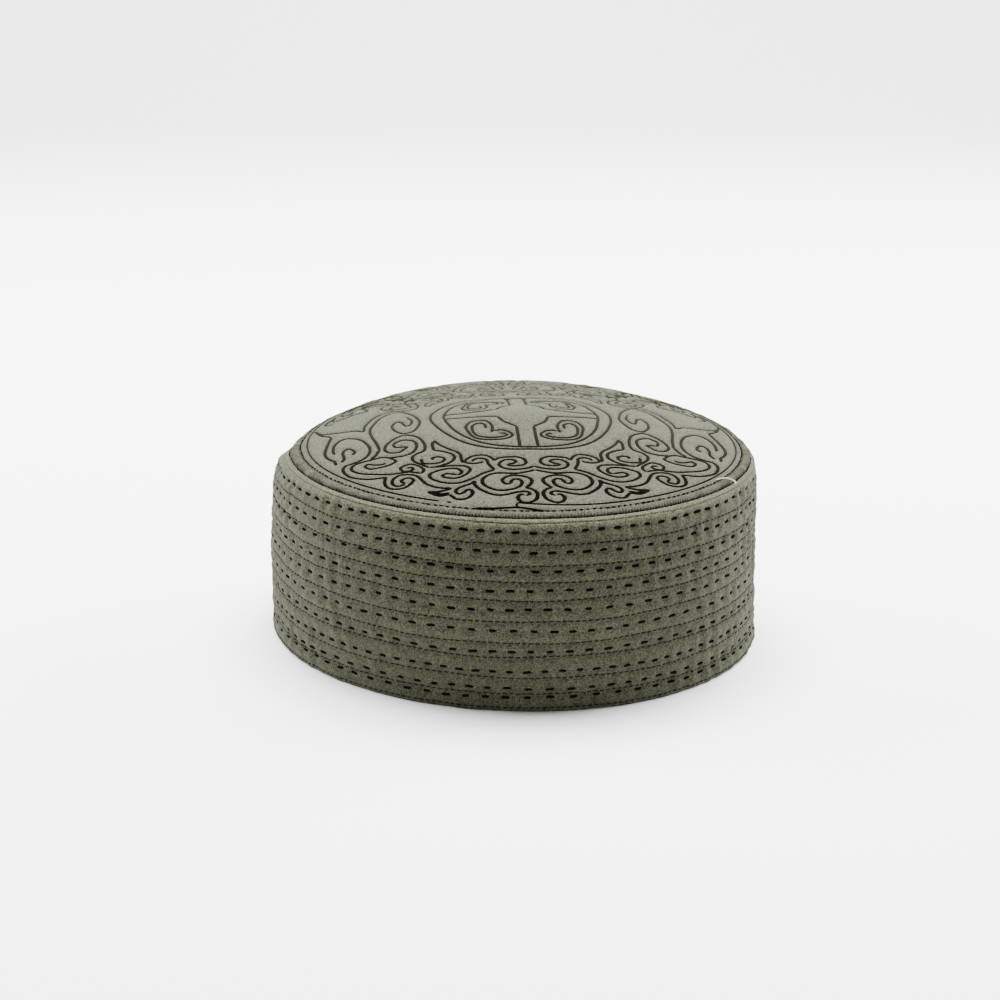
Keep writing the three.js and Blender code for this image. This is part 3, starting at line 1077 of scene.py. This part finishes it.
def top_panel(strokes):
    tree = tree_of(strokes)
    bearing = 2 * np.pi * np.arange(PANEL_COLUMNS) / PANEL_COLUMNS
    face = np.linspace(PANEL_MIDDLE_RADIUS, PANEL_RING_RADIUS, PANEL_FACE_ROWS)
    edge = np.linspace(PANEL_EDGE_START, PANEL_EDGE_RADIUS, PANEL_EDGE_ROWS)
    rows, kinds, shades = [], [], []

    def add(radius, height, kind, shade):
        rows.append(around(radius, bearing, height))
        kinds.append(kind)
        shades.append(np.broadcast_to(np.asarray(shade, float), (PANEL_COLUMNS,)))

    for radius in np.concatenate([face, edge]):
        flat = around(radius, bearing, 0.0)
        gaps = np.array([tree.find(point)[2] for point in flat])
        depth = THREAD_DIP + column(THREAD_LIE, "sink", flat[:, 1], "y")
        dip = depth * np.exp(-((gaps / THREAD_DIP_HALF_WIDTH) ** 2))
        dip = dip - PANEL_PUFF * np.clip(gaps / PANEL_PUFF_WIDTH, 0, 1)
        height = panel_height(radius) - dip + panel_slack(radius, bearing)
        # Painted shade: the cloth is painted darker where it dips under the threads and lighter where
        # it puffs up
        add(radius, height, OUTER, np.clip(0.95 - 0.9 * dip, 0, 1))
    # Painted shade under the panel's bent-down edge
    add(PANEL_EDGE_RADIUS, PANEL_EDGE_FOOT, OUTER, 0.5)
    add(PANEL_EDGE_RADIUS - 0.3, PANEL_UNDERSIDE, OUTER, 0.5)
    # Painted shade: the panel's underside is painted a little darker
    for radius in np.linspace(PANEL_RING_RADIUS, PANEL_MIDDLE_RADIUS, PANEL_INNER_ROWS):
        height = max(float(panel_height(radius)) - PANEL_THICKNESS, PANEL_UNDERSIDE)
        add(radius, height, INNER, 0.8)
    return cloth_object("top_panel_cloth", rows, [top_cloth, inner_cloth], kinds, shades)


# All pieces ride on the one body. Band, roll and panel stand for the three soft solids
scrolls = scroll_strokes()
medallion = medallion_strokes()
edge_ring = edge_ring_strokes()
ring_repair = ring_repair_strokes()

band = side_band()
piping = rim_piping()
panel = top_panel(scrolls + medallion + edge_ring + ring_repair)
dashes = dash_stitches()
lines = sewn_lines()
scroll_threads = embroidery("scroll_embroidery", scrolls)
medallion_threads = embroidery("medallion_embroidery", medallion)
ring_thread = embroidery("edge_ring_thread", edge_ring, RING_HALF_WIDTH)
repair_thread = embroidery("ring_repair_thread", ring_repair, REPAIR_HALF_WIDTH)
seams = [seam_stitches(seam) for seam in SEAMS]
end_thread = roll_end_thread()

slots = {
    band: "band_cloth",
    piping: "cord_cloth",
    panel: "top_cloth",
    dashes: "dark_thread",
    lines: "olive_thread",
    scroll_threads: "dark_thread",
    medallion_threads: "dark_thread",
    ring_thread: "dark_thread",
    repair_thread: "dark_thread",
    end_thread: "cord_cloth",
    **{seam: "dark_thread" for seam in seams},
}
for piece, slot_name in slots.items():
    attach(piece, "root")
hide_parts("side_band")
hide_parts("rim_piping")
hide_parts("crown_top")

# Floor that curves up far round the cap, and light
floor_rows = [(0.001, 0.0), (0.4, 0.0), (SWEEP_START, 0.0)]
for step in range(1, SWEEP_STEPS + 1):
    turn = math.radians(90 * step / SWEEP_STEPS)
    reach = SWEEP_START + SWEEP_RADIUS * math.sin(turn)
    floor_rows.append((reach, SWEEP_RADIUS * (1 - math.cos(turn))))
floor_bearing = 2 * np.pi * np.arange(FLOOR_COLUMNS) / FLOOR_COLUMNS
floor_points = [around(reach, floor_bearing, height) for reach, height in floor_rows]
floor_material, floor_nodes, floor_links, floor_shader = new_material("pale floor")
floor_shader.inputs["Base Color"].default_value = (0.82, 0.82, 0.815, 1)
floor_shader.inputs["Roughness"].default_value = 0.85
floor_faces = ring_faces(len(floor_rows), FLOOR_COLUMNS, False)
floor = make_object("floor", np.concatenate(floor_points), floor_faces, [floor_material])

# Soft lamps over, left and right of the cap, and one for the floor behind it; metres
LAMPS = [
    {"name": "overhead", "place": (0.05, 0.32, 1.35), "aim": (0, 0, 0.05), "size": 1.1, "watts": 86.0},
    {"name": "left", "place": (-1.2, 0.35, 0.6), "aim": (0, 0, 0.05), "size": 0.9, "watts": 50.0},
    {"name": "right", "place": (1.2, 0.5, 0.6), "aim": (0, 0, 0.05), "size": 0.9, "watts": 61.0},
    {"name": "backdrop", "place": (0, 0.5, 1.7), "aim": (0, 2.0, 0.15), "size": 1.2, "watts": 150.0},
]
for lamp in LAMPS:
    light = bpy.data.lights.new(lamp["name"], "AREA")
    light.shape = "SQUARE"
    light.size = lamp["size"]
    light.energy = lamp["watts"]
    holder = bpy.data.objects.new(lamp["name"], light)
    holder.location = lamp["place"]
    aim = Vector(lamp["aim"]) - Vector(lamp["place"])
    holder.rotation_euler = aim.to_track_quat("-Z", "Y").to_euler()
    bpy.context.scene.collection.objects.link(holder)

WORLD_STRENGTH = 0.25
world = bpy.data.worlds.new("soft white room")
world.use_nodes = True
world.node_tree.nodes["Background"].inputs["Color"].default_value = (1, 1, 1, 1)
world.node_tree.nodes["Background"].inputs["Strength"].default_value = WORLD_STRENGTH
bpy.context.scene.world = world

# Camera at the photo's angle: places in metres, sensor and lens in mm
CAMERA_PLACE = (0.0002, -0.6953, 0.2722)
CAMERA_AIM = (0.0002, -0.0007, 0.04)
CAMERA_SENSOR = 36
CAMERA_LENS = 69.3
CAMERA_SHIFT_X = -0.0124
CAMERA_SHIFT_Y = 0.0256

camera_data = bpy.data.cameras.new("camera")
camera_data.sensor_width = CAMERA_SENSOR
camera_data.lens = CAMERA_LENS
camera_data.shift_x = CAMERA_SHIFT_X
camera_data.shift_y = CAMERA_SHIFT_Y
camera = bpy.data.objects.new("camera", camera_data)
camera.location = CAMERA_PLACE
aim = Vector(CAMERA_AIM) - camera.location
camera.rotation_euler = aim.to_track_quat("-Z", "Y").to_euler()
bpy.context.scene.collection.objects.link(camera)
bpy.context.scene.camera = camera
